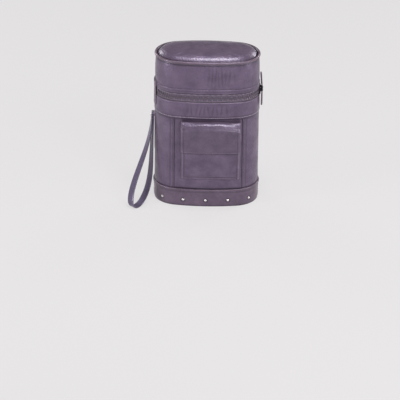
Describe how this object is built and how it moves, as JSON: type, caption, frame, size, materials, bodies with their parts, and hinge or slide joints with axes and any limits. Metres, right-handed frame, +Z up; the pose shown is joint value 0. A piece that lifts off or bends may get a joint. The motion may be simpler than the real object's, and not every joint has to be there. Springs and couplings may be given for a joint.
{
  "type": "poker chip case",
  "caption": "Oval leather case with a zipped side-hinged lid, flapped card pockets, a wrist strap, capped chip boxes and a grooved chip tray.",
  "frame": {"origin": "centre of the leather bottom, on the surface that the case stands on", "axes": "+Z up, -Y out of the front pocket, -X towards the lid hinge and the strap, +X towards the zip sliders"},
  "size_m": [0.2331, 0.135, 0.284],
  "materials": {
    "leather": "grained, glossy",
    "trim_leather": "smooth, glossy",
    "lining": "short pile, matt",
    "board": "stiff board, covered",
    "zip_tape": "woven, matt",
    "zip_teeth": "moulded",
    "slider_metal": "dark enamel",
    "stud_metal": "polished",
    "black_plastic": "glossy"
  },
  "bodies": {
    "case": {"base_panel": "trim_leather", "base_board": "board", "body_shell": "board", "body_skin": "leather", "body_lining": "lining", "base_band": "trim_leather", "base_studs": "stud_metal", "collar": "leather", "zip_tape_lower": "zip_tape", "zip_teeth_lower": "zip_teeth", "hinge_leaf_lower": "trim_leather", "hinge_roll": "trim_leather", "front_pocket": "leather", "front_welt": "trim_leather", "rear_pocket": "leather", "rear_welt": "trim_leather", "strap_stay": "trim_leather", "strap_rivet": "stud_metal", "box_rack": "board"},
    "lid": {"lid_shell": "board", "lid_skin": "leather", "lid_lining": "lining", "lid_pad": "leather", "lid_piping": "trim_leather", "lid_binding": "leather", "zip_tape_upper": "zip_tape", "zip_teeth_upper": "zip_teeth", "hinge_leaf_upper": "trim_leather"},
    "front_flap_body": {"front_flap": "leather"},
    "rear_flap_body": {"rear_flap": "leather"},
    "front_slider": {"zip_slider_front": "slider_metal"},
    "front_pull": {"zip_pull_front": "slider_metal", "zip_tab_front": "trim_leather"},
    "rear_slider": {"zip_slider_rear": "slider_metal"},
    "rear_pull": {"zip_pull_rear": "slider_metal", "zip_tab_rear": "trim_leather"},
    "strap": {"wrist_strap": "trim_leather"},
    "tray": {"chip_tray": "black_plastic"},
    "box_1": {"chip_box_1": "black_plastic"},
    "cap_1": {"box_cap_1": "black_plastic"},
    "box_2": {"chip_box_2": "black_plastic"},
    "cap_2": {"box_cap_2": "black_plastic"},
    "box_3": {"chip_box_3": "black_plastic"},
    "cap_3": {"box_cap_3": "black_plastic"},
    "box_4": {"chip_box_4": "black_plastic"},
    "cap_4": {"box_cap_4": "black_plastic"}
  },
  "joints": [
    {"name": "lid_hinge", "type": "hinge", "parent": "case", "child": "lid", "pos_m": [-0.0924, 0, 0.207], "axis": [0, -1, 0], "range_deg": [0, 115]},
    {"name": "front_flap_fold", "type": "hinge", "parent": "case", "child": "front_flap_body", "pos_m": [0.008, -0.0514, 0.164], "axis": [-1, 0, 0], "range_deg": [0, 90]},
    {"name": "rear_flap_fold", "type": "hinge", "parent": "case", "child": "rear_flap_body", "pos_m": [0.008, 0.0514, 0.164], "axis": [1, 0, 0], "range_deg": [0, 90]},
    {"name": "front_slider_run", "type": "hinge", "parent": "case", "child": "front_slider", "pos_m": [0.046, 0, 0.207], "axis": [0, 0, -1], "range_deg": [0, 55]},
    {"name": "front_pull_swing", "type": "hinge", "parent": "front_slider", "child": "front_pull", "pos_m": [0.09507, -0.0069, 0.207], "axis": [-0.1392, -0.9903, 0], "range_deg": [0, 165]},
    {"name": "rear_slider_run", "type": "hinge", "parent": "case", "child": "rear_slider", "pos_m": [0.046, 0, 0.207], "axis": [0, 0, 1], "range_deg": [0, 55]},
    {"name": "rear_pull_swing", "type": "hinge", "parent": "rear_slider", "child": "rear_pull", "pos_m": [0.09507, 0.0069, 0.207], "axis": [-0.1392, 0.9903, 0], "range_deg": [0, 170]},
    {"name": "strap_swivel", "type": "hinge", "parent": "case", "child": "strap", "pos_m": [-0.09, 0, 0.152], "axis": [1, 0, 0], "range_deg": [-60, 100]},
    {"name": "tray_lift", "type": "slide", "parent": "case", "child": "tray", "axis": [0, 0, 1], "range_m": [0, 0.044]},
    {"name": "box_1_lift", "type": "slide", "parent": "case", "child": "box_1", "axis": [0, 0, 1], "range_m": [0, 0.03]},
    {"name": "cap_1_lift", "type": "slide", "parent": "box_1", "child": "cap_1", "axis": [0, 0, 1], "range_m": [0, 0.012]},
    {"name": "box_2_lift", "type": "slide", "parent": "case", "child": "box_2", "axis": [0, 0, 1], "range_m": [0, 0.03]},
    {"name": "cap_2_lift", "type": "slide", "parent": "box_2", "child": "cap_2", "axis": [0, 0, 1], "range_m": [0, 0.012]},
    {"name": "box_3_lift", "type": "slide", "parent": "case", "child": "box_3", "axis": [0, 0, 1], "range_m": [0, 0.03]},
    {"name": "cap_3_lift", "type": "slide", "parent": "box_3", "child": "cap_3", "axis": [0, 0, 1], "range_m": [0, 0.012]},
    {"name": "box_4_lift", "type": "slide", "parent": "case", "child": "box_4", "axis": [0, 0, 1], "range_m": [0, 0.03]},
    {"name": "cap_4_lift", "type": "slide", "parent": "box_4", "child": "cap_4", "axis": [0, 0, 1], "range_m": [0, 0.012]}
  ]
}
